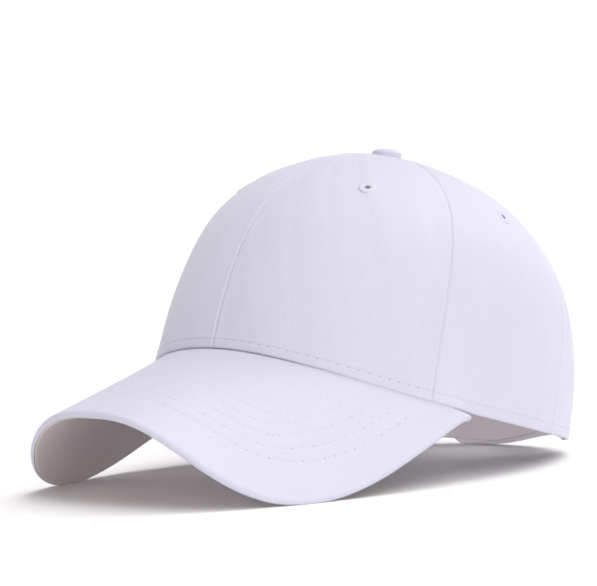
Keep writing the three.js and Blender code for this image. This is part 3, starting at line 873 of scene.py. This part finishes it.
def rear_edges(side, edge):
    """Seams and folded edges along the inner edge of a rear panel."""
    arched = edge[:, 2] < ARCH_TOP
    s = slot_share(edge)
    seams = []
    folds = [edge[arched]]
    if side > 0:
        seams.append((edge[~arched & (s > -0.02) & (s < PLACKET_END)], *SLOT_SEAM))
        seams.append((edge[~arched & (s >= PLACKET_END)], *SOFT_SEAM))
    else:
        seams.append((edge[~arched & (s >= 1.0)], *SOFT_SEAM))
        folds.append(edge[~arched & (s > 0) & (s < 1)])
    seams.append((edge[~arched & (s <= 0.0)], *SOFT_SEAM))
    return [seam for seam in seams if len(seam[0]) > 1], [line for line in folds if len(line) > 1]


def rear_panel(side, word):
    shares = up_steps(112, arch_rows())
    beyond = beyond_left(placket_edge) if side > 0 else beyond_right
    end = edge_angles(shares, side, beyond, True)
    start = side * (REAR_SEAM + seam_gap(shares))
    angles = mix(start[None, :], end[None, :], across_steps(78)[:, None])
    if side < 0:
        angles = angles[::-1]
    seams, folds = rear_edges(side, crown(end, shares))
    seams.insert(0, (seam_line(side * REAR_SEAM), *SOFT_SEAM))
    middle = side * (REAR_SEAM + 180) / 2
    return crown_panel(f"crown_rear_{word}", angles, shares, middle, seams, folds, f"rear_panel_{word}")


def slot_placket():
    shares = np.linspace(SLOT_FROM - 0.02, SLOT_TO + 0.03, PLACKET_ROWS)
    inner = edge_angles(shares, 1, beyond_left(slot_left), False)
    outer_edge = edge_angles(shares, 1, beyond_left(placket_edge), False)
    t = np.concatenate([[0, 0.03, 0.08, 0.16, 0.26], np.linspace(0.34, 0.66, 6), [0.74, 0.84, 0.92, 0.97, 1]])
    angles = mix(outer_edge[None, :], inner[None, :], t[:, None])
    face = crown(angles, shares[None, :])
    width = np.linalg.norm(face[-1] - face[0], axis=-1)[None, :]
    near = np.minimum(t, 1 - t)[:, None] * width
    rounded = np.sqrt(1 - (1 - np.minimum(near / PLACKET_ROUND, 1)) ** 2)
    out = PLACKET_PROUD * rounded - PLACKET_PRESS * bell(near - PLACKET_ROW, PLACKET_ROW_WIDTH)
    row = np.arange(PLACKET_ROWS)
    from_end = np.minimum(np.minimum(row, row[::-1])[None, :] / PLACKET_END_ROWS, 1)
    out = out * from_end - PLACKET_SINK * (1 - from_end)
    under = WALL - WALL / 2 * (1 - rounded)
    outer = crown_out(angles, shares[None, :], out)
    inner_sheet = crown_out(angles, shares[None, :], -under)
    piece = slab("placket_strip", outer, inner_sheet, CLOTH)
    return finish_piece(piece, "cloth", "slot_placket")


def cut_bore(panel, place, side):
    """Opens an eyelet's hole through a panel."""
    angle = side * mix(place["from"], place["to"], place["across"])
    centre = crown(angle, place["share"])
    n = crown_normal(angle, place["share"])
    turn = Vector(to_row(centre + n) - to_row(centre)).to_track_quat("Z", "Y")
    bpy.ops.mesh.primitive_cylinder_add(vertices=16, radius=(EYELET_BORE + EYELET_CUT) / 1000, depth=0.012)
    tool = bpy.context.object
    tool.matrix_world = Matrix.LocRotScale(Vector(to_row(centre)), turn, None)
    cut = panel.modifiers.new("bore", "BOOLEAN")
    cut.operation = "DIFFERENCE"
    cut.solver = "EXACT"
    cut.object = tool
    bpy.context.view_layer.update()
    depsgraph = bpy.context.evaluated_depsgraph_get()
    mesh = bpy.data.meshes.new_from_object(panel.evaluated_get(depsgraph))
    panel.modifiers.remove(cut)
    panel.data = mesh
    bpy.data.objects.remove(tool)


def eyelet(place, side, word):
    """Embroidered ring: thread wound radially over a padded edge, round an open hole."""
    angle = side * mix(place["from"], place["to"], place["across"])
    centre = crown_out(angle, place["share"], 0.1)
    n = crown_normal(angle, place["share"])
    across = unit(np.cross([0, 0, 1], n))
    up = np.cross(n, across)
    turns = np.linspace(0, 2 * np.pi, 145)[:-1]
    wound = EYELET_WOUND * np.cos(EYELET_WINDS * turns)[:, None]
    middle = (EYELET_RING + EYELET_BORE) / 2
    half = (EYELET_RING - EYELET_BORE) / 2
    loop = np.linspace(0, 2 * np.pi, 17)[:-1]
    uneven_round = 1 + EYELET_UNEVEN * np.sin(3 * turns)[:, None]
    r = middle + (half + 0.4 * wound) * np.cos(loop)[None, :] * uneven_round
    lift = np.sin(loop)[None, :]
    h = np.where(lift > 0, (EYELET_RISE + wound) * lift ** 2, EYELET_UNDER * EYELET_RISE * lift)
    round_hole = np.cos(turns)[:, None, None] * across + np.sin(turns)[:, None, None] * up
    points = (centre + r[..., None] * round_hole + h[..., None] * n).reshape(-1, 3)
    grid = np.arange(len(turns) * len(loop)).reshape(len(turns), len(loop))
    right, above = np.roll(grid, -1, 0), np.roll(grid, -1, 1)
    faces = np.stack([grid.ravel(), right.ravel(), np.roll(right, -1, 1).ravel(), above.ravel()], -1)
    faces = outward(points, faces).tolist()
    piece = new_mesh(f"eyelet_{place['name']}_{word}", points, faces, [THREAD_WHITE])
    return finish_piece(piece, "thread", f"{place['name']}_eyelet_{word}")


def hem_stitches():
    end = 180 - math.degrees(math.asin((ARCH_HALF_WIDTH + 2) / HALF_WIDTH))
    stretches = (
        (-end, -SIDE_SEAM - 2, SIDE_HOLE),
        (-SIDE_SEAM - 1, SIDE_SEAM + 1, HEM_HOLE),
        (SIDE_SEAM + 2, end, SIDE_HOLE),
    )
    runs = []
    for low, high, hole in stretches:
        turns = np.linspace(low, high, 500)
        share = np.full(turns.shape, HEM_ROW / RISE_PER_SHARE)
        runs.append((crown_out(turns, share, 0.0), crown_normal(turns, share), hole))
    piece = stitches("stitches_hem", runs, THREAD_WHITE, HOLE_SHADE, HEM_STITCH, SUNK)
    return finish_piece(piece, "thread")


# Peak
def row_distance(u, k):
    draw = PEAK_ROW_DRAW * smooth(np.abs(u), *PEAK_ROW_DRAWN)
    return PEAK_ROW_FIRST + PEAK_ROW_STEP * k - draw


def quilting(u, distance):
    """Soft channels pressed in by the stitch rows."""
    depth = 0
    for k in range(PEAK_ROW_COUNT):
        depth = depth + bell(distance - row_distance(u, k), PEAK_PRESS_WIDTH)
    return -PEAK_PRESS * depth


def cover(made, top, node_name, material, slot):
    """Upper or under cover of the peak, which is rounded over its half of the rim."""
    u = np.linspace(-PEAK_SEEN_TO, PEAK_SEEN_TO, made["columns"])[:, None]
    to_crown = peak_depth_at(u)
    half = np.minimum(PEAK_THICK / 2, PEAK_HALF_MOST * to_crown)
    turn = np.radians(np.linspace(*made["wrap"], RIM_STEPS))[None, :]
    rim_distance = half * (1 - np.cos(turn))
    rim_depth = half * (1 - np.sin(turn))
    flat_distance = half + (to_crown + 1.0 - half) * np.linspace(0, 1, made["rows"])[None, 1:]
    flat_depth = (0 if top else 2 * half) + 0 * flat_distance
    distance = np.concatenate([rim_distance, flat_distance], 1)
    depth = np.concatenate([rim_depth, flat_depth], 1)
    if not top:
        depth = depth + (PEAK_THICK - 2 * half)
    v = peak_v(u, distance) - np.maximum(distance - to_crown, 0) / np.maximum(to_crown, 2)
    n = peak_normal(u + 0 * v, v)
    pressed = quilting(u, distance) * made["press"]
    outer = peak(u + 0 * v, v) + n * (pressed - depth)[..., None]
    inner_v = peak_v(u, np.maximum(distance, np.minimum(made["inset"], half)))
    inner = peak(u + 0 * v, inner_v) - n * made["inner"]
    piece = slab(made["name"], outer, inner, material)
    return finish_piece(piece, slot, node_name)


def peak_stitches(name, offset, facing):
    """Rows of stitches; a row is split where it leaves the peak, and inner rows have finer holes."""
    runs = []
    for k in range(PEAK_ROW_COUNT):
        hole = PEAK_HOLE * (1 - PEAK_HOLE_FADE * k / (PEAK_ROW_COUNT - 1))
        u = np.linspace(-0.95, 0.95, 700)
        distance = row_distance(u, k)
        u = u[distance < peak_depth_at(u) - (PEAK_ROW_STOP_TOP if facing > 0 else PEAK_ROW_STOP_UNDER)]
        distance = row_distance(u, k)
        v = peak_v(u, distance)
        n = peak_normal(u, v)
        line = peak(u, v) + n * (offset - PEAK_PRESS * facing)
        keep = np.flatnonzero(np.linalg.norm(np.diff(line, axis=0), axis=1) > 5)
        for part in np.split(np.arange(len(u)), keep + 1):
            if len(part) > 10:
                runs.append((line[part], n[part] * facing, hole))
    piece = stitches(name, runs, THREAD_WHITE, PEAK_HOLE_SHADE, PEAK_STITCH, SUNK)
    return finish_piece(piece, "thread")


# Strap
def floor_height(y):
    return (FLOOR_IN_CAP + y * math.sin(TILT)) / math.cos(TILT)


def strap_point(x, up, out, lift):
    x, up, out, lift = np.broadcast_arrays(x, up, out, lift)
    angle = 180 - np.degrees(np.arcsin(x / HALF_WIDTH))
    rise = lift / math.cos(TILT) + up
    height = floor_height(REAR_REACH) + rise
    low, high = np.zeros(x.shape), np.ones(x.shape)
    for _ in range(20):
        half = (low + high) / 2
        below = crown(angle, half)[..., 2] < height
        low, high = np.where(below, half, low), np.where(below, high, half)
    p = crown(angle, low) + crown_normal(angle, low) * out[..., None]
    back = p[..., 1] - STRAP_SLACK * (1 - np.minimum(np.abs(x) / ARCH_HALF_WIDTH, 1) ** 2)
    return np.stack([p[..., 0], back, floor_height(back) + rise], -1)


def short_out(x):
    return SEWN_IN - STRAP_STEP * smooth(x, -ARCH_HALF_WIDTH, PAD_FROM - PAD_CLEAR)


def long_out(x):
    over = OVERLAP + STRAP_THICK - STRAP_STEP
    return SEWN_IN + over * (1 - smooth(x, PAD_TO + PAD_CLEAR, ARCH_HALF_WIDTH))


def long_lift(x):
    return STRAP_SEWN_LIFT * smooth(x, STRAP_LIES_TO, ARCH_HALF_WIDTH - 5)


def short_lift(x):
    return long_lift(x) + mix(STRAP_PEEK, SHORT_SEWN_LIFT, smooth(-x, 0, ARCH_HALF_WIDTH))


def strap_piece(name, low, high, free, out, lift, thick, width, material, slot, node_name):
    x = np.concatenate([low + np.array([0, 0.15, 0.4, 0.8]), np.linspace(low + 1.2, high, 90)])
    if free > 0:
        x = np.concatenate([np.linspace(low, high - 1.2, 90), high - np.array([0.8, 0.4, 0.15, 0])])
    x = x[:, None]
    end = high if free > 0 else low
    left = np.minimum(np.abs(x - end) / STRAP_END_ROUND, 1) if free else 1 + 0 * x
    keep = np.maximum(np.sqrt(1 - (1 - left) ** 2), STRAP_END_BLUNT)
    v = np.concatenate([[0, 0.01, 0.03, 0.06], np.linspace(0.09, 0.91, 26), [0.94, 0.97, 0.99, 1]])[None, :]
    up = width * (0.5 + keep * (v - 0.5))
    near = np.minimum(v, 1 - v) * width * keep
    if free:
        near = np.minimum(near, np.abs(x - end))
    edge = rounding(near, thick / 2)
    sewn = (STRAP_PRESS if material is STRAP_CLOTH else 0) * bell(near - STRAP_ROW, STRAP_ROW_WIDTH)
    face = strap_point(x, up, out(x) - edge - sewn, lift(x))
    back = strap_point(x, up, out(x) - thick + edge, lift(x))
    piece = slab(name, face, back, material)
    # Faces turned into the cap get the inner material, whose lighter colour and faint glow are painted light
    # standing in for daylight through the strap.
    if material is STRAP_CLOTH:
        piece.data.materials.append(STRAP_INSIDE_PAINTED_LIGHT)
        for polygon in piece.data.polygons:
            polygon.material_index = int(polygon.normal.y < FACES_FORWARD)
    return finish_piece(piece, slot, node_name)


def strap_stitches():
    runs = []
    for low, high, out, lift in ((LONG_STRAP_END + 4, ARCH_HALF_WIDTH, long_out, long_lift),
                                 (-ARCH_HALF_WIDTH, PAD_FROM, short_out, short_lift)):
        for up in (STRAP_ROW, STRAP_WIDTH - STRAP_ROW):
            x = np.linspace(low, high, 200)
            line = strap_point(x, up, out(x) - 0.15, lift(x))
            beyond = strap_point(x, up, out(x) + 0.85, lift(x))
            runs.append((line, unit(beyond - line), STRAP_HOLE))
    piece = stitches("stitches_strap", runs, THREAD_WHITE, PEAK_HOLE_SHADE, STRAP_STITCH)
    return finish_piece(piece, "thread")


def pad_lift(x):
    return short_lift(x) + PAD_MARGIN


def straps():
    sewn = ARCH_HALF_WIDTH + STRAP_TAB
    strap_piece("strap_outer", LONG_STRAP_END, sewn, -1, long_out, long_lift, STRAP_THICK, STRAP_WIDTH,
                STRAP_CLOTH, "cloth", "strap_long")
    strap_piece("strap_inner", -sewn, SHORT_STRAP_END, 1, short_out, short_lift, STRAP_THICK, STRAP_WIDTH,
                STRAP_CLOTH, "cloth", "strap_short")
    width = STRAP_WIDTH - PAD_NARROWER - 2 * PAD_MARGIN
    strap_piece("pad_of_hooks", PAD_FROM, PAD_TO, 0, lambda x: long_out(x) - STRAP_THICK - GAP, pad_lift,
                PAD_THICK, width, PAD, "pad", "hook_pad")
    strap_piece("pad_of_loops", PAD_FROM, PAD_TO, 0, lambda x: short_out(x) + GAP + PAD_THICK, pad_lift,
                PAD_THICK, width, PAD, "pad", "loop_pad")


def sweatband():
    end = 180 - math.degrees(math.asin((ARCH_HALF_WIDTH + STRAP_TAB + SWEATBAND_CLEAR) / HALF_WIDTH))
    turns = np.linspace(-end, end, 260)[:, None]
    v = np.concatenate([[0, 0.01, 0.03, 0.07, 0.12], np.linspace(0.18, 0.88, 14), [0.93, 0.97, 0.99, 1]])
    v = v[None, :]
    shares = mix(0.01, SWEATBAND_SHARE, v) + 0 * turns
    turns = turns + 0 * v
    near = np.minimum(v, 1 - v) * SWEATBAND_SHARE * RISE_PER_SHARE
    edge = rounding(near, SWEATBAND_THICK / 2)
    row = SWEATBAND_PRESS * bell(near - SWEATBAND_ROW, SWEATBAND_ROW_WIDTH)
    wave = SWEATBAND_WAVE * np.sin(np.radians(turns) * SWEATBAND_WAVES) * np.sin(np.pi * v) ** 2
    depth = WALL + SWEATBAND_GAP
    outer = crown_out(turns, shares, -(depth + edge))
    inner = crown_out(turns, shares, -(depth + SWEATBAND_THICK - edge - row + wave))
    piece = slab("band_inside", outer, inner, LINING)
    return finish_piece(piece, "lining", "sweatband")


def button():
    """Covered button: a flat dome whose cloth is drawn in under the edge in soft pleats."""
    turns = np.linspace(0, 2 * np.pi, 97)[:-1]
    share = np.sin(np.linspace(0, np.pi / 2, 30))
    dome = BUTTON_SKIRT + (BUTTON_HEIGHT - BUTTON_SKIRT) * (1 - share ** 3) ** 0.5
    profile_r = BUTTON_RADIUS * np.concatenate([share, [1.0, 0.99, 0.95]])
    profile_z = np.concatenate([dome, [0.6, -0.6, -2.5]])
    fade = smooth(profile_r / BUTTON_RADIUS, 0.6, 1.0)
    r = profile_r[None, :] + BUTTON_PLEAT * np.cos(BUTTON_PLEATS * turns)[:, None] * fade[None, :]
    x = r * np.cos(turns)[:, None]
    from_front = BUTTON_RADIUS + r * np.sin(turns)[:, None]
    tilt = math.radians(BUTTON_TILT)
    y = from_front * math.cos(tilt) - profile_z * math.sin(tilt) - BUTTON_RADIUS - TOP_FORWARD
    z = from_front * math.sin(tilt) + profile_z * math.cos(tilt) + CROWN_HEIGHT
    points = np.stack([x, y, z], -1)
    nu, nv = points.shape[:2]
    grid = np.arange(nu * nv).reshape(nu, nv)
    right = np.roll(grid, -1, 0)
    faces = np.stack([grid[:, :-1], grid[:, 1:], right[:, 1:], right[:, :-1]], -1).reshape(-1, 4)
    flat = points.reshape(-1, 3)
    faces = outward(flat, faces).tolist()
    faces.append(grid[:, -1].tolist())
    uv = flat[:, :2] + 0.5 * flat[:, 2:3]
    piece = new_mesh("button_covered", flat, faces, [CLOTH], uv)
    return finish_piece(piece, "cloth", "button")


# Stage, lights and camera
def view_axes():
    turn, rise, roll = (math.radians(a) for a in (VIEW_TURN, VIEW_RISE, VIEW_ROLL))
    back = Vector((math.sin(turn) * math.cos(rise), -math.cos(turn) * math.cos(rise), math.sin(rise)))
    right = Vector((math.cos(turn), math.sin(turn), 0))
    up = back.cross(right)
    tilted = right * math.cos(roll) + up * math.sin(roll)
    return tilted, up * math.cos(roll) - right * math.sin(roll), back


def camera():
    right, up, back = view_axes()
    data = bpy.data.cameras.new("camera")
    data.sensor_fit = "HORIZONTAL"
    data.sensor_width = 36
    data.lens = LENS
    data.shift_x, data.shift_y = SHIFT
    data.clip_end = 20
    obj = bpy.data.objects.new("camera", data)
    place = Vector(VIEW_TARGET) + back * VIEW_DISTANCE
    obj.matrix_world = Matrix((
        (right.x, up.x, back.x, place.x),
        (right.y, up.y, back.y, place.y),
        (right.z, up.z, back.z, place.z),
        (0, 0, 0, 1)))
    bpy.context.scene.collection.objects.link(obj)
    bpy.context.scene.camera = obj


def sun(name, right, toward, up, softness, strength):
    """Soft light that comes from a direction given in the camera's turn: right, towards it, and up."""
    turn = math.radians(VIEW_TURN)
    across = Vector((math.cos(turn), math.sin(turn), 0))
    near = Vector((math.sin(turn), -math.cos(turn), 0))
    data = bpy.data.lights.new(name, "SUN")
    data.angle = math.radians(softness)
    data.energy = strength
    data.color = COOL
    obj = bpy.data.objects.new(name, data)
    source = across * right + near * toward + Vector((0, 0, up))
    obj.location = source
    obj.rotation_euler = (-source).to_track_quat("-Z", "Y").to_euler()
    bpy.context.scene.collection.objects.link(obj)


def studio():
    """World with a white band at the horizon, and above it a warm one that fades beside the cap."""
    world = bpy.data.worlds.new("studio")
    world.use_nodes = True
    tree = world.node_tree
    direction = node(tree, "ShaderNodeTexCoord").outputs["Generated"]
    parts = node(tree, "ShaderNodeSeparateXYZ")
    tree.links.new(direction, parts.inputs[0])
    x, y, z = (parts.outputs[axis] for axis in "XYZ")
    turn = math.radians(VIEW_TURN)
    near = weighted(tree, x, math.sin(turn), y, -math.cos(turn))
    level = math_node(tree, "SUBTRACT", 1.0, math_node(tree, "MULTIPLY", z, z))
    along = math_node(tree, "DIVIDE", math_node(tree, "MULTIPLY", near, near),
                      math_node(tree, "MAXIMUM", level, 0.001))
    low = math_node(tree, "MULTIPLY_ADD", along, LOW_SKY - LOW_SKY_SIDE)
    low.node.inputs[2].default_value = LOW_SKY_SIDE
    band = math_node(tree, "SUBTRACT", two_tones(tree, z, WHITE_BAND, 0.0, 1.0),
                     two_tones(tree, z, WARM_BAND_END, 0.0, 1.0))
    white = tree.nodes["Background"]
    white.inputs["Color"].default_value = (1, 1, 1, 1)
    warm = node(tree, "ShaderNodeBackground")
    warm.inputs["Color"].default_value = WARM
    both = node(tree, "ShaderNodeAddShader")
    tree.links.new(two_tones(tree, z, WHITE_BAND, HORIZON, 0.0), white.inputs["Strength"])
    tree.links.new(math_node(tree, "MULTIPLY", low, band), warm.inputs["Strength"])
    tree.links.new(white.outputs[0], both.inputs[0])
    tree.links.new(warm.outputs[0], both.inputs[1])
    tree.links.new(both.outputs[0], tree.nodes["World Output"].inputs["Surface"])
    return world


def two_tones(tree, value, span, below, above):
    """A number that turns smoothly from one value to another over a span."""
    change = node(tree, "ShaderNodeMapRange")
    change.interpolation_type = "SMOOTHSTEP"
    for socket, number in zip(change.inputs[1:5], (*span, below, above)):
        socket.default_value = number
    tree.links.new(value, change.inputs[0])
    return change.outputs[0]


def stage():
    corners = [(FLOOR_HALF * x, FLOOR_HALF * y, 0) for x, y in ((-1, -1), (1, -1), (1, 1), (-1, 1))]
    mesh = bpy.data.meshes.new("floor")
    mesh.from_pydata(corners, [], [(0, 1, 2, 3)])
    material = bpy.data.materials.new("floor_white")
    material.use_nodes = True
    shader = material.node_tree.nodes["Principled BSDF"]
    shader.inputs["Base Color"].default_value = (FLOOR_WHITE, FLOOR_WHITE, FLOOR_WHITE, 1)
    shader.inputs["Roughness"].default_value = 0.9
    mesh.materials.append(material)
    floor = bpy.data.objects.new("floor", mesh)
    bpy.context.scene.collection.objects.link(floor)
    bpy.context.scene.world = studio()
    bpy.context.scene.view_settings.view_transform = "Standard"


stage()
camera()
for light in SUNS:
    sun(**light)

for side, word in ((1, "left"), (-1, "right")):
    panels = {
        "front": plain_panel(word, side, "front", 0.0, SIDE_SEAM, 92),
        "side": plain_panel(word, side, "side", SIDE_SEAM, REAR_SEAM, 66),
        "rear": rear_panel(side, word),
    }
    for place in EYELETS:
        cut_bore(panels[place["name"]], place, side)
        eyelet(place, side, word)
slot_placket()
button()
sweatband()
cover(COVERS[0], True, "peak_upper_cover", CLOTH, "cloth")
cover(COVERS[1], False, "peak_under_cover", UNDER, "under_cloth")
straps()
hem_stitches()
peak_stitches("stitches_peak_upper", 0.0, 1)
peak_stitches("stitches_peak_under", -PEAK_THICK, -1)
strap_stitches()
